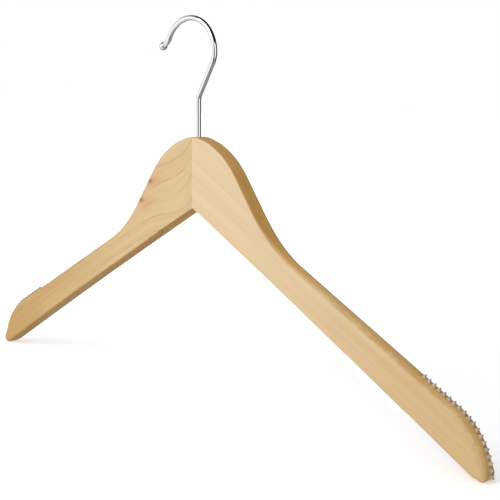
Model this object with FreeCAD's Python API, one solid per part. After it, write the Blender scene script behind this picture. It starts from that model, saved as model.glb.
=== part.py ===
import FreeCAD, Part
import math
import os

# Clothes hanger: two wooden arms meet in a doweled mitre under a round head, a bent wire hook turns in a
# sleeve trapped between them, and a ribbed rubber strip is let into the outer end of each shoulder.
#
# Frame: millimetres, +Z up, +X towards the right arm, and the front face looks along -Y. The origin is on
# the ground line, midway between the two arm tips, so the hook turns about the Z axis.

# ---- Driving dimensions ----
OVERALL_WIDTH = 445.0       # tip to tip across the wood
THICKNESS = 12.0            # planed thickness of both arms

# Outline of an arm, from the top of the head outwards. Slopes are degrees below level.
CROWN_RADIUS = 24.8         # top of the head
CROWN_SLOPE = 14.6
TEMPLE_RADIUS = 56.3        # sides of the head
FLANK_SLOPE = 55.0          # straight flank below the head
FLANK_LENGTH = 25.6
NECK_RADIUS = 101.4         # hollow between flank and shoulder
SHOULDER_SLOPE = 28.9
SHOULDER_END_RADIUS = 43.3  # the shoulder turns down to the tip in one round
FADE_SLOPE = 72.0           # up to here the shoulder keeps its full edge rounding
TIP_SLOPE = 82.9
TIP_RADIUS = 3.4            # the tip touches the ground line
UNDERSIDE_TIP_SLOPE = 30.9  # the underside is a shallow arch, a little steeper at the tip
UNDERSIDE_APEX_SLOPE = 29.6

# Rounding of the long edges of the two faces.
HEAD_EDGE_ROUND = 1.3
SHOULDER_EDGE_ROUND = 5.2   # leaves the shoulder almost fully round
TIP_EDGE_ROUND = 3.0        # has to stay below the radius of the tip
UNDERSIDE_EDGE_ROUND = 0.8
EDGE_FADE = 4.0             # length on the underside over which the rounding gets finer

# Hook wire. Headings are degrees above +X and follow the wire up from the shank.
WIRE_DIAMETER = 3.3
SHANK_RISE = 23.2           # straight wire above the head
NECK_BEND_RADIUS = 7.4
LEAN_HEADING = 59.4         # straight run up to the loop
LEAN_LENGTH = 22.8
APPROACH_RADIUS = 14.8      # bend from the straight run into the loop
LOOP_START_HEADING = 95.9
LOOP_RADIUS = 22.4
LOOP_END_HEADING = 243.8
FLICK_RADIUS = 7.4          # the tip turns outward again
FLICK_HEADING = 211.7
TIP_LENGTH = 3.6            # straight end of the wire, up to the centre of the ball
BALL_DIAMETER = 5.3

# Swivel, from the top of the head down.
MOUTH_DEPTH = 5.0           # bare wood above the sleeve
MOUTH_CLEARANCE = 0.25      # radial, round the wire in bare wood and in the washer
SLEEVE_LENGTH = 10.0
SLEEVE_OUTER_RADIUS = 3.0
SLEEVE_CLEARANCE = 0.06     # radial running fit of the wire
WASHER_RADIUS = 3.5
WASHER_THICKNESS = 0.8
AXIAL_PLAY = 0.12           # between the washer and the collar
COLLAR_RADIUS = 3.0
COLLAR_THICKNESS = 2.2
COLLAR_CHAMFER = 0.3
RIVET_HEAD_RADIUS = 2.3     # wire end spread under the collar
RIVET_HEAD_HEIGHT = 0.9
POCKET_RADIUS = 3.7
POCKET_HEADROOM = 0.8       # space below the rivet head

# Dowels across the mitre.
DOWEL_DIAMETER = 5.0
DOWEL_LENGTH = 28.0
DOWEL_CHAMFER = 0.6
DOWEL_END_GAP = 1.0         # glue space at each end of the hole
DOWEL_FLUTES = 8
DOWEL_FLUTE_RADIUS = 0.3
DOWEL_RISES = (7.6, 17.4)   # dowel axes above the inner corner of the mitre

# Grip strips. Offsets are measured square to the wood, outwards.
STRIP_WIDTH = 1.8
STRIP_ON_SHOULDER = 27.0    # straight part of the strip
STRIP_END_SLOPE = 140.0     # where it stops, well round the tip
SEAT_OFFSET = -2.5          # floor of the saw cut that holds the strip
VALLEY_OFFSET = -0.3        # the valleys lie a little below the wood
RIB_COUNT = 19
RIB_FOOT_OFFSET = -0.7      # the ribs are rooted in the strip
RIB_CREST_OFFSET = 2.1
RIB_FLANK_ANGLE = 60.0
RIB_CREST_RADIUS = 0.25
RIB_END_MARGIN = 2.2        # from the ends of the strip to the first and last crest

# ---- Derived sizes ----
WIRE_RADIUS = WIRE_DIAMETER / 2
DOWEL_HOLE_LENGTH = DOWEL_LENGTH + 2 * DOWEL_END_GAP
HALF_THICKNESS = THICKNESS / 2
TOLERANCE = 1e-6            # for telling places apart
ORIGIN = FreeCAD.Vector(0, 0, 0)
X_AXIS = FreeCAD.Vector(1, 0, 0)
Y_AXIS = FreeCAD.Vector(0, 1, 0)
Z_AXIS = FreeCAD.Vector(0, 0, 1)


def sin(degrees):
    return math.sin(math.radians(degrees))


def cos(degrees):
    return math.cos(math.radians(degrees))


def direction(heading):
    """Unit vector in the XZ plane, heading degrees above +X."""
    return FreeCAD.Vector(cos(heading), 0, sin(heading))


class Path:
    """A chain of tangent lines and arcs in the plane y = 0."""

    def __init__(self, point, heading):
        self.points = [point]
        self.heading = heading
        self.edges = []

    @property
    def end(self):
        return self.points[-1]

    def line_to(self, point):
        self.edges.append(Part.makeLine(self.end, point))
        self.points.append(point)
        return self

    def line(self, length):
        return self.line_to(self.end + direction(self.heading) * length)

    def turn_to(self, radius, heading):
        """An arc that swings the path round to a new heading, to the left if it is the larger one."""
        to_centre = 90 if heading > self.heading else -90
        centre = self.end + direction(self.heading + to_centre) * radius
        half_way = (self.heading + heading) / 2
        middle = centre - direction(half_way + to_centre) * radius
        end = centre - direction(heading + to_centre) * radius
        self.edges.append(Part.Arc(self.end, middle, end).toShape())
        self.points.append(end)
        self.heading = heading
        return self


def plate(edges, width):
    """A flat solid with this outline, centred on the plane y = 0."""
    face = Part.Face(Part.Wire(Part.__sortEdges__(edges)))
    face.translate(Y_AXIS * (-width / 2))
    return face.extrude(Y_AXIS * width)


def post(radius, bottom, top):
    """A round bar on the hook's turning axis."""
    return Part.makeCylinder(radius, top - bottom, Z_AXIS * bottom)


def mirrored(shape):
    return shape.mirror(ORIGIN, X_AXIS)


# ---- Arm outline ----
def shoulder_length():
    """The straight shoulder takes up what the rounds leave of half the width."""
    used = CROWN_RADIUS * sin(CROWN_SLOPE)
    used += TEMPLE_RADIUS * (sin(FLANK_SLOPE) - sin(CROWN_SLOPE))
    used += FLANK_LENGTH * cos(FLANK_SLOPE)
    used += NECK_RADIUS * (sin(FLANK_SLOPE) - sin(SHOULDER_SLOPE))
    used += SHOULDER_END_RADIUS * (sin(TIP_SLOPE) - sin(SHOULDER_SLOPE))
    used += TIP_RADIUS * (1 - sin(TIP_SLOPE))
    return (OVERALL_WIDTH / 2 - used) / cos(SHOULDER_SLOPE)


def arm_outline(head_height):
    """The right arm from the top of the head, over the shoulder and round the tip to the inner corner."""
    path = Path(Z_AXIS * head_height, 0)
    path.turn_to(CROWN_RADIUS, -CROWN_SLOPE)
    path.turn_to(TEMPLE_RADIUS, -FLANK_SLOPE)
    path.line(FLANK_LENGTH)
    path.turn_to(NECK_RADIUS, -SHOULDER_SLOPE)
    path.line(shoulder_length())
    path.turn_to(SHOULDER_END_RADIUS, -FADE_SLOPE)
    path.turn_to(SHOULDER_END_RADIUS, -TIP_SLOPE)
    path.turn_to(TIP_RADIUS, -180 - UNDERSIDE_TIP_SLOPE)
    path.line(EDGE_FADE)
    arch_radius = path.end.x / (sin(UNDERSIDE_TIP_SLOPE) - sin(UNDERSIDE_APEX_SLOPE))
    path.turn_to(arch_radius, -180 - UNDERSIDE_APEX_SLOPE)
    return path


# Places of some edges in the outline.
NECK_EDGE = 3
SHOULDER_EDGE = 4
SHOULDER_END_EDGE = 5
TIP_APPROACH_EDGE = 6
TIP_EDGE = 7
UNDERSIDE_FADE_EDGE = 8

# The head height that puts the lowest point of the tip on the ground line.
HEAD_TOP = TIP_RADIUS * (1 + cos(TIP_SLOPE)) - arm_outline(0).points[TIP_EDGE].z
OUTLINE = arm_outline(HEAD_TOP)
APEX = OUTLINE.end

SLEEVE_TOP = HEAD_TOP - MOUTH_DEPTH
SLEEVE_BOTTOM = SLEEVE_TOP - SLEEVE_LENGTH
WASHER_BOTTOM = SLEEVE_BOTTOM - WASHER_THICKNESS
COLLAR_TOP = WASHER_BOTTOM - AXIAL_PLAY
COLLAR_BOTTOM = COLLAR_TOP - COLLAR_THICKNESS
SHANK_BOTTOM = COLLAR_BOTTOM - RIVET_HEAD_HEIGHT
POCKET_BOTTOM = SHANK_BOTTOM - POCKET_HEADROOM


# ---- Wood ----
def edge_rounds(place):
    """Rounding at the start and the end of an outline edge."""
    if place < NECK_EDGE:
        return HEAD_EDGE_ROUND, HEAD_EDGE_ROUND
    if place == NECK_EDGE:
        return HEAD_EDGE_ROUND, SHOULDER_EDGE_ROUND
    if place in (SHOULDER_EDGE, SHOULDER_END_EDGE):
        return SHOULDER_EDGE_ROUND, SHOULDER_EDGE_ROUND
    if place == TIP_APPROACH_EDGE:
        return SHOULDER_EDGE_ROUND, TIP_EDGE_ROUND
    if place == TIP_EDGE:
        return TIP_EDGE_ROUND, TIP_EDGE_ROUND
    if place == UNDERSIDE_FADE_EDGE:
        return TIP_EDGE_ROUND, UNDERSIDE_EDGE_ROUND
    return UNDERSIDE_EDGE_ROUND, UNDERSIDE_EDGE_ROUND


def edge_middle(edge):
    return edge.valueAt((edge.FirstParameter + edge.LastParameter) / 2)


def rounded(solid, outline):
    """The solid with the long edges of both faces rounded, each edge by its own amount."""
    document = FreeCAD.newDocument("rounding")
    base = document.addObject("Part::Feature", "base")
    base.Shape = solid
    fillet = document.addObject("Part::Fillet", "fillet")
    fillet.Base = base
    picked = []
    for place, outline_edge in enumerate(outline.edges):
        middle = edge_middle(outline_edge)
        for number, edge in enumerate(solid.Edges, 1):
            offset = edge_middle(edge) - middle
            straight_across = abs(abs(offset.y) - offset.Length) < TOLERANCE
            if straight_across and abs(offset.Length - HALF_THICKNESS) < TOLERANCE:
                picked.append((number, *edge_rounds(place)))
    fillet.Edges = picked
    document.recompute()
    result = fillet.Shape.copy()
    FreeCAD.closeDocument(document.Name)
    return result


def arm_blank():
    """The arm with its edges rounded: fine on the head, almost full on the shoulder, less at the tip."""
    mitre = Part.makeLine(APEX, OUTLINE.points[0])
    return rounded(plate(OUTLINE.edges + [mitre], THICKNESS), OUTLINE)


def hook_bore():
    """Mouth, sleeve seat and collar pocket, all on the turning axis."""
    mouth = post(WIRE_RADIUS + MOUTH_CLEARANCE, SLEEVE_TOP, HEAD_TOP + MOUTH_DEPTH)
    seat = post(SLEEVE_OUTER_RADIUS, SLEEVE_BOTTOM, SLEEVE_TOP)
    pocket = post(POCKET_RADIUS, POCKET_BOTTOM, SLEEVE_BOTTOM)
    return mouth.fuse([seat, pocket])


def dowel_bar(radius, length, rise):
    """A round bar across the mitre."""
    return Part.makeCylinder(radius, length, FreeCAD.Vector(-length / 2, 0, APEX.z + rise), X_AXIS)


def right_arm():
    holes = [dowel_bar(DOWEL_DIAMETER / 2, DOWEL_HOLE_LENGTH, rise) for rise in DOWEL_RISES]
    return arm_blank().cut([hook_bore(), strip_layer(SEAT_OFFSET, RIB_CREST_OFFSET)] + holes)


def mitre_dowels():
    """Two fluted dowels with chamfered ends."""
    dowels = []
    for rise in DOWEL_RISES:
        dowel = dowel_bar(DOWEL_DIAMETER / 2, DOWEL_LENGTH, rise)
        ends = [edge for edge in dowel.Edges if len(edge.Vertexes) == 1]
        dowel = dowel.makeChamfer(DOWEL_CHAMFER, ends)
        flutes = []
        for i in range(DOWEL_FLUTES):
            flute = dowel_bar(DOWEL_FLUTE_RADIUS, DOWEL_HOLE_LENGTH, rise)
            angle = 360 * (i + 0.5) / DOWEL_FLUTES
            flute.translate(FreeCAD.Vector(0, cos(angle), sin(angle)) * (DOWEL_DIAMETER / 2))
            flutes.append(flute)
        dowels.append(dowel.cut(flutes))
    return Part.makeCompound(dowels)


# ---- Grip strips ----
def strip_path(offset):
    """The stretch of the arm outline that carries a strip, moved outwards by offset."""
    shoulder_end = OUTLINE.points[SHOULDER_EDGE + 1]
    start = shoulder_end - direction(-SHOULDER_SLOPE) * STRIP_ON_SHOULDER
    path = Path(start + direction(90 - SHOULDER_SLOPE) * offset, -SHOULDER_SLOPE)
    path.line(STRIP_ON_SHOULDER)
    path.turn_to(SHOULDER_END_RADIUS + offset, -TIP_SLOPE)
    path.turn_to(TIP_RADIUS + offset, -STRIP_END_SLOPE)
    return path


def strip_layer(low, high):
    """A layer as wide as the strip that follows the wood between two offsets."""
    inner = strip_path(low)
    outer = strip_path(high)
    ends = [
        Part.makeLine(inner.points[0], outer.points[0]),
        Part.makeLine(inner.end, outer.end),
    ]
    return plate(inner.edges + outer.edges + ends, STRIP_WIDTH)


def rib(crest_foot, heading):
    """A ridge across the strip with straight flanks and a rounded crest, standing square to the wood."""
    height = RIB_CREST_OFFSET - RIB_FOOT_OFFSET
    crown = RIB_CREST_RADIUS * (1 - cos(RIB_FLANK_ANGLE))
    flank = (height - crown) / sin(RIB_FLANK_ANGLE)
    half_base = flank * cos(RIB_FLANK_ANGLE) + RIB_CREST_RADIUS * sin(RIB_FLANK_ANGLE)
    foot = crest_foot + direction(heading + 90) * RIB_FOOT_OFFSET
    start = foot - direction(heading) * half_base
    path = Path(start, heading + RIB_FLANK_ANGLE)
    path.line(flank)
    path.turn_to(RIB_CREST_RADIUS, heading - RIB_FLANK_ANGLE)
    path.line(flank)
    path.line_to(start)
    return plate(path.edges, STRIP_WIDTH)


def wire_places(wire, distances):
    """The point and the heading of a wire at each distance along it."""
    places = []
    for distance in distances:
        for edge in wire.OrderedEdges:
            if distance <= edge.Length:
                parameter = edge.getParameterByLength(distance)
                tangent = edge.tangentAt(parameter)
                places.append((edge.valueAt(parameter), math.degrees(math.atan2(tangent.z, tangent.x))))
                break
            distance -= edge.Length
    return places


def right_grip_strip():
    wood_line = Part.Wire(strip_path(0).edges)
    pitch = (wood_line.Length - 2 * RIB_END_MARGIN) / (RIB_COUNT - 1)
    places = wire_places(wood_line, [RIB_END_MARGIN + i * pitch for i in range(RIB_COUNT)])
    ribs = [rib(point, heading) for point, heading in places]
    return strip_layer(SEAT_OFFSET, VALLEY_OFFSET).fuse(ribs).removeSplitter()


# ---- Swivel and hook ----
def swivel_sleeve():
    bar = post(SLEEVE_OUTER_RADIUS, SLEEVE_BOTTOM, SLEEVE_TOP)
    return bar.cut(post(WIRE_RADIUS + SLEEVE_CLEARANCE, SLEEVE_BOTTOM, SLEEVE_TOP))


def thrust_washer():
    disc = post(WASHER_RADIUS, WASHER_BOTTOM, SLEEVE_BOTTOM)
    return disc.cut(post(WIRE_RADIUS + MOUTH_CLEARANCE, WASHER_BOTTOM, SLEEVE_BOTTOM))


def retaining_collar():
    disc = post(COLLAR_RADIUS, COLLAR_BOTTOM, COLLAR_TOP)
    rims = [edge for edge in disc.Edges if len(edge.Vertexes) == 1]
    disc = disc.makeChamfer(COLLAR_CHAMFER, rims)
    return disc.cut(post(WIRE_RADIUS, COLLAR_BOTTOM, COLLAR_TOP))


def hook_path():
    """The centreline of the wire, from the rivet head to the centre of the ball."""
    path = Path(Z_AXIS * COLLAR_BOTTOM, 90)
    path.line(HEAD_TOP + SHANK_RISE - COLLAR_BOTTOM)
    path.turn_to(NECK_BEND_RADIUS, LEAN_HEADING)
    path.line(LEAN_LENGTH)
    path.turn_to(APPROACH_RADIUS, LOOP_START_HEADING)
    path.turn_to(LOOP_RADIUS, LOOP_END_HEADING)
    path.turn_to(FLICK_RADIUS, FLICK_HEADING)
    path.line(TIP_LENGTH)
    return path


def swivel_hook():
    path = hook_path()
    section = Part.Wire(Part.makeCircle(WIRE_RADIUS, path.points[0], Z_AXIS))
    wire = Part.Wire(path.edges).makePipeShell([section], True, False)
    head = post(RIVET_HEAD_RADIUS, SHANK_BOTTOM, COLLAR_BOTTOM)
    circles = [edge for edge in head.Edges if len(edge.Vertexes) == 1]
    rim = [edge for edge in circles if edge.Vertexes[0].Z < SHANK_BOTTOM + TOLERANCE]
    head = head.makeFillet(RIVET_HEAD_HEIGHT / 2, rim)
    return wire.fuse(head)


def hook_ball_tip():
    """A ball with a blind socket that fits over the end of the wire."""
    path = hook_path()
    ball = Part.makeSphere(BALL_DIAMETER / 2, path.end)
    socket = Part.makeCylinder(WIRE_RADIUS, BALL_DIAMETER, path.end, direction(FLICK_HEADING) * -1)
    return ball.cut(socket)


def main():
    arm = right_arm()
    strip = right_grip_strip()
    parts = {
        "right_arm": arm,
        "left_arm": mirrored(arm),
        "mitre_dowels": mitre_dowels(),
        "right_grip_strip": strip,
        "left_grip_strip": mirrored(strip),
        "swivel_sleeve": swivel_sleeve(),
        "thrust_washer": thrust_washer(),
        "retaining_collar": retaining_collar(),
        "swivel_hook": swivel_hook(),
        "hook_ball_tip": hook_ball_tip(),
    }
    os.makedirs("parts", exist_ok=True)
    for name, shape in parts.items():
        shape.exportStep("parts/" + name + ".step")
        print(name, shape.isValid(), len(shape.Solids), round(shape.Volume, 1), shape.BoundBox)


main()
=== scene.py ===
import bpy
import math
from collections import namedtuple
from mathutils import Matrix, Vector

# Looks of the clothes hanger: procedural materials on the CAD solids, a white studio and the camera.
#
# Unless a comment says otherwise, lengths are millimetres in the frame of the CAD, angles are degrees and
# colours are linear. Noise is given by the sizes of its features, or by a scale in features per millimetre.
# A pair of levels says where an effect starts and where it is full. Four levels, for a window, say where it
# starts, is full, starts to fade and is gone.

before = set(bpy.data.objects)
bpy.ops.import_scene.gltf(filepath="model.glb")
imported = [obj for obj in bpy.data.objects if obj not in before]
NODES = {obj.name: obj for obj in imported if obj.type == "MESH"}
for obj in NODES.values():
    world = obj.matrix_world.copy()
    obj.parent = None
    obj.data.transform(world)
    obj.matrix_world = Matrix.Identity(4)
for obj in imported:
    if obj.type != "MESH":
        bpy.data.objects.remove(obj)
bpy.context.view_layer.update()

MM = 0.001
MIDDLE = 0.5                              # mean level of any noise
WHITE = (1, 1, 1, 1)

# ---- View, from the object; distances in metres ----
VIEW_AZIMUTH = math.radians(43.339)       # from the front, towards the right arm
VIEW_ELEVATION = math.radians(8.789)
VIEW_ROLL = math.radians(0.449)
VIEW_TARGET = Vector((0.04653, 0, 0.10453))
VIEW_DISTANCE = 0.65136
CLIP_START = 0.01
LENS_MM = 74.71
SENSOR_MM = 36.0

# ---- Wood of both arms ----
GRAIN_SLOPE = math.radians(30.0)          # the grain falls outwards with the underside of the arm
RING_LEAN = 0.35                          # sideways drift of the rings per length through the thickness

# Patterns. Sizes are along the grain, through the thickness and across the grain.
STREAKS = dict(size=(150.0, 7.0, 3.4), detail=4.0, roughness=0.6)
STREAK_LEVELS = (0.3, 0.72)
FIBRES = dict(size=(10.0, 0.4, 0.35), detail=3.0)
FIBRE_LEVELS = (0.5, 0.8)
PORES = dict(size=(5.0, 0.35, 0.35), detail=2.0)
GROWTH_LINES = dict(size=(120.0, 0.9, 30.0), detail=3.0)
GROWTH_LEVELS = (0.45, 0.7)
GROWTH_STAIN = dict(amount=0.3, tint=(0.30, 0.17, 0.06))
SCUFFS = dict(scale=0.11, detail=5.0, roughness=0.65)

# Sawn edges and worn corners, told from the flat faces by how squarely they face front or back, 1 at most.
EDGE_FACING = (0.88, 0.45)
CORNER_FACING = (0.25, 0.5, 0.8, 0.97)
WEAR_LEVELS = (0.48, 0.66)
WEAR_STAIN = dict(amount=0.16, tint=(0.86, 0.72, 0.52))

# Tints multiplied into the colour: towards the right and the left tip, and on the edges of head and arm.
HONEY = (0.88, 0.78, 0.60)
AMBER = (0.80, 0.66, 0.36)
TIP_TINT_OUT = (20.0, 215.0)
# The edge tints are partly the sawn edges' own colour and partly painted shade: the edges are painted darker
# and more golden where they turn from the light, most on the head.
HEAD_EDGE_TONE_AND_SHADE = (0.96, 0.71, 0.325)
ARM_EDGE_TONE_AND_SHADE = (1.06, 0.94, 0.69)
HEAD_TO_ARM_OUT = (55.0, 125.0)

SCUFF_LEVELS = (0.3, 0.7)
LACQUER_ROUGHNESS = (0.36, 0.5)
WEAR_ROUGHNESS = 0.12                     # added where a corner is worn
COAT_WEIGHT = 0.25
COAT_ROUGHNESS = 0.28
WOOD_RELIEF = dict(depth=0.05, strength=0.5)
FIBRE_RELIEF = 0.5                        # shares of the relief
PORE_RELIEF = 0.3
RING_RELIEF = 0.4

# ---- Right arm: straight grain ----
# Colours of the pale and the dark streaks.
RIGHT_WOOD = ((0.70, 0.535, 0.325), (0.65, 0.475, 0.27))
RIGHT_SHIFT = 17.0                        # which part of the noise it takes
RIGHT_WANDER = dict(size=(120.0, 40.0, 40.0), detail=1.0)
RIGHT_WANDER_WIDTH = 8.0
RIGHT_RING_PITCH = 4.3
RIGHT_LINE_AT = 0.8                       # place and width of the dark line, as shares of the pitch
RIGHT_LINE_WIDTH = 0.09
CLOUDS = dict(size=(45.0, 30.0, 12.0), detail=2.0)
CLOUD_LEVELS = (0.42, 0.72)
RIGHT_LINE_STAIN = dict(amount=0.28, tint=(0.60, 0.38, 0.17))
RIGHT_FIBRE_STAIN = dict(amount=0.1, tint=(0.62, 0.40, 0.20))

# ---- Left arm: cathedral grain ----
# Colours of the pale and the dark streaks.
LEFT_WOOD = ((0.645, 0.46, 0.233), (0.59, 0.41, 0.198))
LEFT_SHIFT = 3.0
LEFT_WANDER = dict(size=(90.0, 40.0, 40.0), detail=1.0)
LEFT_WANDER_WIDTH = 3.0
PALE_BANDS = dict(size=(80.0, 30.0, 9.0), detail=2.0)
PALE_LEVELS = (0.5, 0.72)
PALE_STAIN = dict(amount=0.4, tint=(0.74, 0.56, 0.33))
LEFT_FIBRE_STAIN = dict(amount=0.12, tint=(0.50, 0.29, 0.11))

CLIMB_FADE = 12.0                         # the grain climbs towards the mitre, more so high on the head
CLIMB_RISE = (110.0, 158.0)
CLIMB_HEIGHT = (9.0, 18.0)
BEND_OUT = 36.0                           # where the level grain turns to follow the arm
BEND_SOFTNESS = 14.0

LEFT_RING_PITCH = 10.7
LEFT_RING_LEVEL = 142.2                   # one dark line, as a level of the grain's field
LEFT_LINE_AT = 0.5                        # places and widths within a ring, as shares of the pitch
LEFT_LINE_WIDTH = 0.022
SHADE_START = 0.2                         # a faint shade gathers below each line and stops just past it
SHADE_END = 0.54
SHADE_LEVEL = 0.16
LINE_FADE_OUT = (120.0, 50.0)             # the lines are fainter along the arm
LINE_FADE_LEVELS = (0.25, 1.0)
LINE_BREAKS = dict(size=(26.0, 40.0, 9.0), detail=2.0)     # outwards, through the thickness and up
LINE_BREAK_LEVELS = (0.34, 0.56)
LINE_BREAK_SHARES = (0.15, 1.0)           # what a break leaves of a line, and a whole line
LEFT_LINE_STAIN = dict(amount=0.65, tint=(0.40, 0.20, 0.07))

# Knots: outwards from the mitre, height, and how far each one lifts the grain.
KNOTS = ((40.0, 142.5, 3.0), (49.5, 129.0, 2.5))
# Their marks: shift outwards, width and height.
KNOT_PULL = (3.0, 9.0, 6.0)
KNOT_HALO = (-1.5, 9.0, 5.5)
KNOT_HEART = (1.2, 2.2, 1.5)
HALO_STAIN = dict(amount=0.6, tint=(0.56, 0.29, 0.11))
HEART_STAIN = dict(amount=0.9, tint=(0.22, 0.09, 0.03))
# Soft marks: outwards from the mitre, height of the centre, width, height and strength.
SMUDGES = ((45.0, 137.7, 5.0, 3.5, 0.35), (2.5, 137.0, 3.0, 9.0, 0.25), (63.8, 103.0, 1.5, 0.8, 0.5),
           (4.0, 126.0, 5.0, 3.0, 0.3))
SMUDGE_TINT = (0.60, 0.37, 0.15)

# ---- Dowels ----
DOWEL_WOOD = ((0.80, 0.62, 0.40), (0.62, 0.43, 0.23))
DOWEL_FIBRES = dict(size=(8.0, 0.35, 0.35), detail=3.0)
DOWEL_LEVELS = (0.35, 0.7)
DOWEL_ROUGH_LEVELS = (0.3, 0.7)
DOWEL_ROUGHNESS = (0.6, 0.75)
DOWEL_RELIEF = dict(depth=0.1, strength=0.5)

# ---- Grip strips ----
RUBBER_COLOURS = ((0.44, 0.36, 0.275), (0.56, 0.47, 0.365))
DUST = dict(scale=0.12, detail=2.0)
DUST_LEVELS = (0.3, 0.7)
SPECKS = dict(scale=1.6, detail=4.0)
SPECK_LEVELS = (0.4, 0.7)
SPECK_STAIN = dict(amount=0.35, tint=(0.30, 0.23, 0.17))
SPECK_ROUGH_LEVELS = (0.2, 0.8)
RUBBER_ROUGHNESS = (0.55, 0.8)
RUBBER_RELIEF = dict(depth=0.1, strength=0.6)

# ---- Metals: colour, roughness and strength of the turning marks ----
CHROME = dict(colour=(0.93, 0.935, 0.95), roughness=(0.03, 0.07), turning=0.02)
BRASS = dict(colour=(0.80, 0.60, 0.28), roughness=(0.2, 0.35), turning=0.15)
STEEL = dict(colour=(0.60, 0.60, 0.61), roughness=(0.25, 0.4), turning=0.15)
HAZE = dict(scale=0.25, detail=3.0)
HAZE_TINT_LEVELS = (0.4, 0.8)
HAZE_ROUGH_LEVELS = (0.3, 0.7)
HAZE_AMOUNT = 0.15
HAZE_SHADE = 0.8                          # brightness under full haze
TURNING_SCALE = (0.2, 14.0)               # marks per mm, round the shank and along it
TURNING_DETAIL = 2.0
TURNING_DEPTH = 0.02

# ---- Key light and floor; size, distance and height in metres ----
KEY_AZIMUTH = math.radians(-15)
KEY_ELEVATION = math.radians(38)
KEY_TARGET = Vector((0, 0, 0.11))
KEY_DISTANCE = 1.4
KEY_SIZE = 0.9
KEY_WATTS = 8.0
FLOOR_HALF_SIZE = 6.0
FLOOR_GREY = 0.7
FLOOR_GLOW_X = (-200.0, 200.0)            # glow close by, from the left arm's end to the right arm's
FLOOR_GLOW = (0.50, 0.41)
FLOOR_GLOW_AWAY = (250.0, 420.0)          # distance from the middle over which it rises to full
FULL_GLOW = 1.0

# ---- Room that bright metal sees. Turns are round the vertical, 0 towards the camera and positive to its
# right, and rises are above level. ----
HORIZON_RISE = (-14.0, -32.0)             # walls above, table below
WALL_LEVEL = 0.68
WALL_TOP_SHARE = 0.6                      # the walls get darker upwards
WALL_RISE = (20.0, 50.0)
WINDOW_LEVEL = 1.1                        # a window low on the walls
RIGHT_WINDOW_TURN = (10.0, 20.0, 45.0, 58.0)
LEFT_WINDOW_TURN = (-118.0, -104.0, -62.0, -48.0)
LEFT_WINDOW_RISE = (12.0, 30.0)           # where it starts to fade and is gone
TABLE_TURN = (-50.0, 5.0)                 # the table gets greyer to the right
TABLE_LEVELS = (0.75, 0.27)
BEHIND_TURN = (108.0, 148.0)              # either way, the part behind the object is dim
WALL_BEHIND = 0.22
TABLE_BEHIND = 0.25
LOW_CEILING_TURN = (-25.0, 5.0, 110.0, 150.0)
CEILING_START = (38.0, 18.0)              # rise of the dark ceiling, elsewhere and where it comes low
CEILING_FULL = (66.0, 32.0)
SLIT_TURN = (-32.0, -20.0, 2.0, 12.0)     # dark, beside the camera
SLIT_RISE = (-50.0, -28.0, 8.0, 20.0)
FLAG_TURN = (60.0, 76.0, 126.0, 142.0)    # dark, on the right
FLAG_RISE = (-40.0, -22.0)
DARK_SHARE = 0.02                         # of the light, left in the darkest parts

# ---- Light on the wood from all round ----
LIT_LEVEL = 0.82
LIT_RIGHT = 0.42
LIT_RIGHT_TURN = (0.0, 70.0, 130.0, 165.0)
LIT_BELOW_SHARE = 1.25                    # a white table throws light up
LIT_BELOW_SINE = (-0.3, 0.5)              # sine of the rise over which that fades


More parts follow.
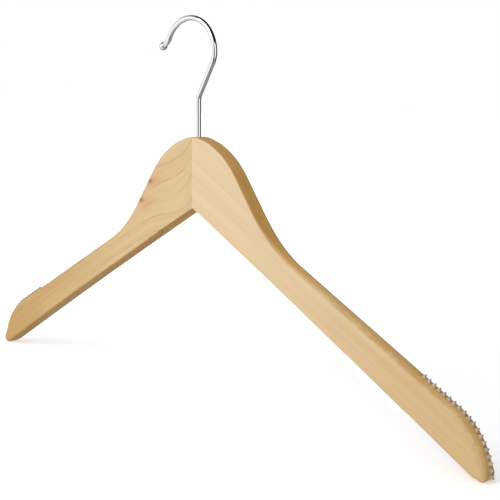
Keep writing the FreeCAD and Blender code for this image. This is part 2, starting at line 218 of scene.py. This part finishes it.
# ---- Small node-graph language ----
class Graph:
    """Builds one node tree. Sockets and plain numbers can be mixed in every call."""

    MIX_A, MIX_B, MIX_RESULT = 6, 7, 2    # colour sockets of a mix node

    def __init__(self, tree):
        self.tree = tree
        tree.nodes.clear()

    def node(self, kind, inputs=None, **settings):
        made = self.tree.nodes.new(kind)
        for key, value in settings.items():
            setattr(made, key, value)
        for key, value in (inputs or {}).items():
            self.feed(made.inputs[key], value)
        return made

    def feed(self, socket, value):
        if isinstance(value, bpy.types.NodeSocket):
            self.tree.links.new(value, socket)
        else:
            socket.default_value = value

    def math(self, operation, a, b=0.0):
        made = self.node("ShaderNodeMath", {0: a, 1: b}, operation=operation)
        return made.outputs[0]

    def add(self, a, b):
        return self.math("ADD", a, b)

    def sub(self, a, b):
        return self.math("SUBTRACT", a, b)

    def mul(self, a, b):
        return self.math("MULTIPLY", a, b)

    def div(self, a, b):
        return self.math("DIVIDE", a, b)

    def ramp(self, value, low, high, to_low=0.0, to_high=1.0, smooth=True):
        made = self.node("ShaderNodeMapRange", interpolation_type="SMOOTHSTEP" if smooth else "LINEAR")
        for socket, number in zip(made.inputs, (value, low, high, to_low, to_high)):
            self.feed(socket, number)
        return made.outputs[0]

    def between(self, share, a, b, smooth=True):
        """From a at share 0 to b at share 1."""
        return self.ramp(share, 0.0, 1.0, a, b, smooth)

    def window(self, value, low, rise_end, fall_start, high):
        """1 between rise_end and fall_start, falling smoothly to 0 at low and high."""
        return self.mul(self.ramp(value, low, rise_end), self.ramp(value, fall_start, high, 1.0, 0.0))

    def gauss(self, squared):
        """exp(-squared), a soft round hump."""
        return self.math("EXPONENT", self.mul(squared, -1.0))

    def bell(self, value, centre, width):
        """1 at the centre, falling smoothly to 0 about twice the width away."""
        offset = self.div(self.sub(value, centre), width)
        return self.gauss(self.mul(offset, offset))

    def vector(self, x, y, z):
        return self.node("ShaderNodeCombineXYZ", {0: x, 1: y, 2: z}).outputs[0]

    def split(self, vector):
        return self.node("ShaderNodeSeparateXYZ", {0: vector}).outputs

    def noise(self, vector, detail, scale=1.0, roughness=0.5):
        made = self.node("ShaderNodeTexNoise", {
            "Vector": vector, "Scale": scale, "Detail": detail, "Roughness": roughness})
        return made.outputs["Fac"]

    def pattern(self, along, through, across, size, shift=0.0, **noise):
        """Noise with features of the given three sizes. Another shift takes another part of the noise."""
        places = [self.div(place, length) for place, length in zip((along, through, across), size)]
        if shift:
            places[1] = self.add(places[1], shift)
        return self.noise(self.vector(*places), **noise)

    def mix(self, factor, a, b, blend="MIX"):
        made = self.node("ShaderNodeMix", {"Factor": factor}, data_type="RGBA", blend_type=blend)
        self.feed(made.inputs[self.MIX_A], self.rgba(a))
        self.feed(made.inputs[self.MIX_B], self.rgba(b))
        return made.outputs[self.MIX_RESULT]

    def stain(self, colour, mask, amount, tint):
        """Replaces this share of the colour by the tint where the mask is 1."""
        return self.mix(self.mul(mask, amount), colour, tint)

    def rgba(self, colour):
        if isinstance(colour, bpy.types.NodeSocket):
            return colour
        return (*colour, 1.0)

    def bump(self, height, depth, strength):
        inputs = {"Height": height, "Distance": depth * MM, "Strength": strength}
        return self.node("ShaderNodeBump", inputs).outputs[0]

    def output(self, kind, shader):
        """Joins a shader to the tree's output node."""
        self.tree.links.new(shader, self.node(kind).inputs[0])


def material(name):
    made = bpy.data.materials.new(name)
    made.use_nodes = True
    return made, Graph(made.node_tree)


def finish_material(g, **inputs):
    """The principled surface. An underscore in a keyword stands for the space in the input's name."""
    named = {key.replace("_", " "): value for key, value in inputs.items()}
    g.output("ShaderNodeOutputMaterial", g.node("ShaderNodeBsdfPrincipled", named).outputs[0])


def frame_mm(g):
    """Position in the object's own frame, in millimetres, as x, y and z."""
    place = g.node("ShaderNodeTexCoord").outputs["Object"]
    return g.split(g.node("ShaderNodeVectorMath", {0: place, "Scale": 1 / MM}, operation="SCALE").outputs[0])


# A point of an arm: outwards from the mitre, through the thickness, up, and along and across the grain.
ArmPlace = namedtuple("ArmPlace", "out y z along across")


def arm_place(g, side):
    """The side is 1 for the right arm and -1 for the left."""
    x, y, z = frame_mm(g)
    out = g.mul(x, side)
    c, s = math.cos(GRAIN_SLOPE), math.sin(GRAIN_SLOPE)
    return ArmPlace(out, y, z, g.sub(g.mul(out, c), g.mul(z, s)), g.add(g.mul(out, s), g.mul(z, c)))


def grain(g, at, field, shift):
    """Broad pale and dark streaks and fine fibre, both running along the field's level lines."""
    streak = g.pattern(at.along, at.y, field, shift=shift, **STREAKS)
    fibre = g.pattern(at.along, at.y, field, shift=shift, **FIBRES)
    return streak, fibre


def wander(g, at, field, width, pattern):
    """The field with a slow waver added, at most this wide from side to side."""
    slow = g.pattern(at.along, at.y, field, **pattern)
    return g.add(field, g.mul(g.sub(slow, MIDDLE), width))


def lacquered(g, at, field, colour, fibre, rings, tip_tint):
    """Finishes either arm: warmer tip, golden sawn edges (partly their own colour, partly painted shade) with
    growth lines, worn corners, relief and coat.
    """
    colour = g.mix(g.ramp(at.out, *TIP_TINT_OUT), colour, tip_tint, "MULTIPLY")
    facing = g.math("ABSOLUTE", g.split(g.node("ShaderNodeTexCoord").outputs["Normal"])["Y"])
    edge = g.ramp(facing, *EDGE_FACING)
    # painted shade, partly the edges' own colour: the sawn edges are tinted darker and more golden, most on
    # the head
    edge_tone_and_shade = g.mix(g.ramp(at.out, *HEAD_TO_ARM_OUT), HEAD_EDGE_TONE_AND_SHADE, ARM_EDGE_TONE_AND_SHADE)
    colour = g.mix(edge, colour, g.mix(1.0, colour, edge_tone_and_shade, "MULTIPLY"))
    growth = g.pattern(at.along, at.y, field, **GROWTH_LINES)
    colour = g.stain(colour, g.mul(edge, g.ramp(growth, *GROWTH_LEVELS)), **GROWTH_STAIN)
    scuff = g.noise(g.vector(at.out, at.y, at.z), **SCUFFS)
    worn = g.mul(g.window(facing, *CORNER_FACING), g.ramp(scuff, *WEAR_LEVELS))
    colour = g.stain(colour, worn, **WEAR_STAIN)
    rough = g.add(g.ramp(scuff, *SCUFF_LEVELS, *LACQUER_ROUGHNESS), g.mul(worn, WEAR_ROUGHNESS))
    pore = g.pattern(at.along, at.y, field, **PORES)
    height = g.add(g.add(g.mul(fibre, FIBRE_RELIEF), g.mul(pore, PORE_RELIEF)), g.mul(rings, RING_RELIEF))
    finish_material(g, Base_Color=colour, Roughness=rough, Normal=g.bump(height, **WOOD_RELIEF),
                    Coat_Weight=COAT_WEIGHT, Coat_Roughness=COAT_ROUGHNESS)


def wood_right():
    """Straight, fine grain parallel to the underside."""
    made, g = material("wood_right")
    at = arm_place(g, 1)
    field = wander(g, at, at.across, RIGHT_WANDER_WIDTH, RIGHT_WANDER)
    streak, fibre = grain(g, at, field, RIGHT_SHIFT)
    cloud = g.pattern(at.along, at.y, field, **CLOUDS)
    ring = g.math("FRACT", g.div(g.add(field, g.mul(at.y, RING_LEAN)), RIGHT_RING_PITCH))
    line = g.mul(g.bell(ring, RIGHT_LINE_AT, RIGHT_LINE_WIDTH), g.ramp(cloud, *CLOUD_LEVELS))
    colour = g.mix(g.ramp(streak, *STREAK_LEVELS), *RIGHT_WOOD)
    colour = g.stain(colour, line, **RIGHT_LINE_STAIN)
    colour = g.stain(colour, g.ramp(fibre, *FIBRE_LEVELS), **RIGHT_FIBRE_STAIN)
    lacquered(g, at, field, colour, fibre, line, HONEY)
    return made


def spot(g, at, out, rise, width, height):
    """A soft round or oval mark on the face, 1 in its middle."""
    a = g.div(g.sub(at.out, out), width)
    b = g.div(g.sub(at.z, rise), height)
    return g.gauss(g.add(g.mul(a, a), g.mul(b, b)))


def knot_mark(g, at, knot, mark):
    out, rise, _ = knot
    shift, width, height = mark
    return spot(g, at, out + shift, rise, width, height)


def cathedral_field(g, at):
    """Level under the head, climbing to the mitre, following the arm further out and lifted at the knots."""
    climb = g.mul(g.math("EXPONENT", g.div(at.out, -CLIMB_FADE)), g.ramp(at.z, *CLIMB_RISE, *CLIMB_HEIGHT))
    past = g.sub(at.out, BEND_OUT)
    bend = g.math("SQRT", g.add(g.mul(past, past), BEND_SOFTNESS ** 2))
    fall = g.mul(g.add(past, bend), -math.tan(GRAIN_SLOPE) / 2)
    field = g.sub(g.sub(at.z, climb), fall)
    for knot in KNOTS:
        lift = knot[-1]
        field = g.add(field, g.mul(knot_mark(g, at, knot, KNOT_PULL), lift))
    return wander(g, at, field, LEFT_WANDER_WIDTH, LEFT_WANDER)


def cathedral_lines(g, at, field):
    """Thin dark lines with a soft shade on one side, fainter along the arm and broken here and there."""
    rings = g.div(g.sub(g.add(field, g.mul(at.y, RING_LEAN)), LEFT_RING_LEVEL), LEFT_RING_PITCH)
    ring = g.math("FRACT", g.add(rings, LEFT_LINE_AT))
    shade = g.mul(g.ramp(ring, SHADE_START, LEFT_LINE_AT),
                  g.ramp(ring, LEFT_LINE_AT, SHADE_END, SHADE_LEVEL, 0.0))
    line = g.add(g.bell(ring, LEFT_LINE_AT, LEFT_LINE_WIDTH), shade)
    line = g.mul(line, g.ramp(at.out, *LINE_FADE_OUT, *LINE_FADE_LEVELS))
    breaks = g.pattern(at.out, at.y, at.z, **LINE_BREAKS)
    return g.mul(line, g.ramp(breaks, *LINE_BREAK_LEVELS, *LINE_BREAK_SHARES))


def wood_left():
    """Open cathedral grain that sweeps up to the mitre, round two small knots on the flank."""
    made, g = material("wood_left")
    at = arm_place(g, -1)
    field = cathedral_field(g, at)
    streak, fibre = grain(g, at, field, LEFT_SHIFT)
    colour = g.mix(g.ramp(streak, *STREAK_LEVELS), *LEFT_WOOD)
    pale = g.pattern(at.along, at.y, field, **PALE_BANDS)
    colour = g.stain(colour, g.ramp(pale, *PALE_LEVELS), **PALE_STAIN)
    line = cathedral_lines(g, at, field)
    colour = g.stain(colour, line, **LEFT_LINE_STAIN)
    colour = g.stain(colour, g.ramp(fibre, *FIBRE_LEVELS), **LEFT_FIBRE_STAIN)
    near_knot = 0.0
    for knot in KNOTS:
        heart = knot_mark(g, at, knot, KNOT_HEART)
        colour = g.stain(colour, knot_mark(g, at, knot, KNOT_HALO), **HALO_STAIN)
        colour = g.stain(colour, heart, **HEART_STAIN)
        near_knot = g.math("MAXIMUM", near_knot, heart)
    for *mark, amount in SMUDGES:
        colour = g.stain(colour, spot(g, at, *mark), amount, SMUDGE_TINT)
    lacquered(g, at, field, colour, fibre, g.sub(line, near_knot), AMBER)
    return made


def dowel_wood():
    made, g = material("dowel_wood")
    fibre = g.pattern(*frame_mm(g), **DOWEL_FIBRES)
    finish_material(g, Base_Color=g.mix(g.ramp(fibre, *DOWEL_LEVELS), *DOWEL_WOOD),
                    Roughness=g.ramp(fibre, *DOWEL_ROUGH_LEVELS, *DOWEL_ROUGHNESS),
                    Normal=g.bump(fibre, **DOWEL_RELIEF))
    return made


def rubber():
    """Dusty, with fine dark specks."""
    made, g = material("strip_rubber")
    place = g.vector(*frame_mm(g))
    speck = g.noise(place, **SPECKS)
    dust = g.noise(place, **DUST)
    colour = g.mix(g.ramp(dust, *DUST_LEVELS), *RUBBER_COLOURS)
    colour = g.stain(colour, g.ramp(speck, *SPECK_LEVELS), **SPECK_STAIN)
    finish_material(g, Base_Color=colour, Roughness=g.ramp(speck, *SPECK_ROUGH_LEVELS, *RUBBER_ROUGHNESS),
                    Normal=g.bump(speck, **RUBBER_RELIEF))
    return made


def metal(name, colour, roughness, turning):
    """Polished metal with a thin haze and fine marks round the vertical."""
    made, g = material(name)
    x, y, z = frame_mm(g)
    haze = g.noise(g.vector(x, y, z), **HAZE)
    round_it, along_it = TURNING_SCALE
    squeezed = g.vector(g.mul(x, round_it), g.mul(y, round_it), g.mul(z, along_it))
    marks = g.noise(squeezed, detail=TURNING_DETAIL)
    hazy = tuple(HAZE_SHADE * channel for channel in colour)
    finish_material(g, Base_Color=g.stain(colour, g.ramp(haze, *HAZE_TINT_LEVELS), HAZE_AMOUNT, hazy),
                    Metallic=1.0, Roughness=g.ramp(haze, *HAZE_ROUGH_LEVELS, *roughness),
                    Normal=g.bump(marks, TURNING_DEPTH, turning))
    return made


def paint(made, *nodes):
    for node in nodes:
        mesh = NODES[node].data
        mesh.materials.clear()
        mesh.materials.append(made)


paint(wood_right(), "right_arm")
paint(wood_left(), "left_arm")
paint(dowel_wood(), "mitre_dowels")
paint(rubber(), "left_grip_strip", "right_grip_strip")
paint(metal("hook_chrome", **CHROME), "swivel_hook", "hook_ball_tip")
paint(metal("sleeve_brass", **BRASS), "swivel_sleeve")
paint(metal("swivel_steel", **STEEL), "thrust_washer", "retaining_collar")


# ---- Studio ----
def towards(azimuth, elevation):
    """Unit vector from the object, the azimuth being 0 at the front and positive towards the right arm."""
    level = math.cos(elevation)
    return Vector((math.sin(azimuth) * level, -math.cos(azimuth) * level, math.sin(elevation)))


def placed(name, data):
    made = bpy.data.objects.new(name, data)
    bpy.context.collection.objects.link(made)
    return made


def key_light():
    """A square softbox."""
    data = bpy.data.lights.new("key", "AREA")
    data.size = KEY_SIZE
    data.energy = KEY_WATTS
    light = placed("key", data)
    light.location = KEY_TARGET + towards(KEY_AZIMUTH, KEY_ELEVATION) * KEY_DISTANCE
    light.rotation_mode = "QUATERNION"
    light.rotation_quaternion = (light.location - KEY_TARGET).normalized().to_track_quat("Z", "Y")


def floor():
    mesh = bpy.data.meshes.new("floor")
    r = FLOOR_HALF_SIZE
    mesh.from_pydata([(-r, -r, 0), (r, -r, 0), (r, r, 0), (-r, r, 0)], [], [(0, 1, 2, 3)])
    plane = placed("floor", mesh)
    plane.visible_glossy = False
    plane.visible_diffuse = False
    made, g = material("floor_white")
    diffuse = g.node("ShaderNodeBsdfDiffuse", {"Color": g.rgba([FLOOR_GREY] * 3)}).outputs[0]
    # Shade shows near the arms only: the floor glows brighter with the distance, so no horizon is seen.
    x, y, _ = frame_mm(g)
    away = g.math("SQRT", g.add(g.mul(x, x), g.mul(y, y)))
    near = g.ramp(x, *FLOOR_GLOW_X, *FLOOR_GLOW, smooth=False)
    strength = g.ramp(away, *FLOOR_GLOW_AWAY, near, FULL_GLOW)
    glow = g.node("ShaderNodeEmission", {"Color": WHITE, "Strength": strength}).outputs[0]
    both = g.node("ShaderNodeAddShader", {0: diffuse, 1: glow}).outputs[0]
    g.output("ShaderNodeOutputMaterial", both)
    mesh.materials.append(made)


def room_level(g, turn, rise):
    """A white room, dim behind the object, with two windows, a table that is grey on the right, a dark slit
    and a dark flag, and a dark ceiling that comes lower on the right."""
    low = g.window(turn, *LOW_CEILING_TURN)
    ceiling = g.ramp(rise, g.between(low, *CEILING_START), g.between(low, *CEILING_FULL))
    slit = g.mul(g.window(turn, *SLIT_TURN), g.window(rise, *SLIT_RISE))
    flag = g.mul(g.window(turn, *FLAG_TURN), g.ramp(rise, *FLAG_RISE))
    dark = g.math("MAXIMUM", g.math("MAXIMUM", slit, flag), ceiling)
    behind = g.ramp(g.math("ABSOLUTE", turn), *BEHIND_TURN)
    table = g.between(behind, g.ramp(turn, *TABLE_TURN, *TABLE_LEVELS), TABLE_BEHIND)
    left_window = g.mul(g.window(turn, *LEFT_WINDOW_TURN), g.ramp(rise, *LEFT_WINDOW_RISE, 1.0, 0.0))
    windows = g.add(left_window, g.window(turn, *RIGHT_WINDOW_TURN))
    walls = g.add(g.ramp(rise, *WALL_RISE, WALL_LEVEL, WALL_LEVEL * WALL_TOP_SHARE),
                  g.mul(windows, WINDOW_LEVEL - WALL_LEVEL))
    room = g.ramp(rise, *HORIZON_RISE, g.between(behind, walls, WALL_BEHIND), table)
    return g.mul(room, g.between(dark, 1.0, DARK_SHARE, smooth=False))


def lit_level(g, turn, upward):
    """Dimmer on the right, and stronger from below."""
    lit = g.between(g.window(turn, *LIT_RIGHT_TURN), LIT_LEVEL, LIT_RIGHT, smooth=False)
    return g.mul(lit, g.ramp(upward, *LIT_BELOW_SINE, LIT_BELOW_SHARE, 1.0))


def studio_world():
    """The metal mirrors the room, the wood is lit from all round and the camera sees white."""
    world = bpy.data.worlds.new("studio")
    bpy.context.scene.world = world
    world.use_nodes = True
    g = Graph(world.node_tree)
    x, y, z = g.split(g.node("ShaderNodeTexCoord").outputs["Generated"])
    c, s = math.cos(VIEW_AZIMUTH), math.sin(VIEW_AZIMUTH)
    ahead = g.sub(g.mul(x, s), g.mul(y, c))
    right = g.add(g.mul(x, c), g.mul(y, s))
    turn = g.mul(g.math("ARCTAN2", right, ahead), math.degrees(1))
    rise = g.mul(g.math("ARCSINE", z), math.degrees(1))
    rays = g.node("ShaderNodeLightPath").outputs
    glossy = rays["Is Glossy Ray"]
    level = g.add(g.mul(glossy, room_level(g, turn, rise)), g.mul(g.sub(1.0, glossy), lit_level(g, turn, z)))
    level = g.math("MAXIMUM", level, rays["Is Camera Ray"])
    g.output("ShaderNodeOutputWorld",
             g.node("ShaderNodeBackground", {"Color": WHITE, "Strength": level}).outputs[0])


def camera():
    back = towards(VIEW_AZIMUTH, VIEW_ELEVATION)
    level = Vector((math.cos(VIEW_AZIMUTH), math.sin(VIEW_AZIMUTH), 0))
    upward = back.cross(level)
    c, s = math.cos(VIEW_ROLL), math.sin(VIEW_ROLL)
    turn = Matrix((level * c + upward * s, upward * c - level * s, back)).transposed()
    data = bpy.data.cameras.new("view")
    data.lens = LENS_MM
    data.sensor_width = SENSOR_MM
    data.clip_start = CLIP_START
    view = placed("view", data)
    view.matrix_world = Matrix.Translation(VIEW_TARGET + back * VIEW_DISTANCE) @ turn.to_4x4()
    bpy.context.scene.camera = view


floor()
studio_world()
camera()
key_light()
bpy.context.scene.view_settings.view_transform = "Standard"
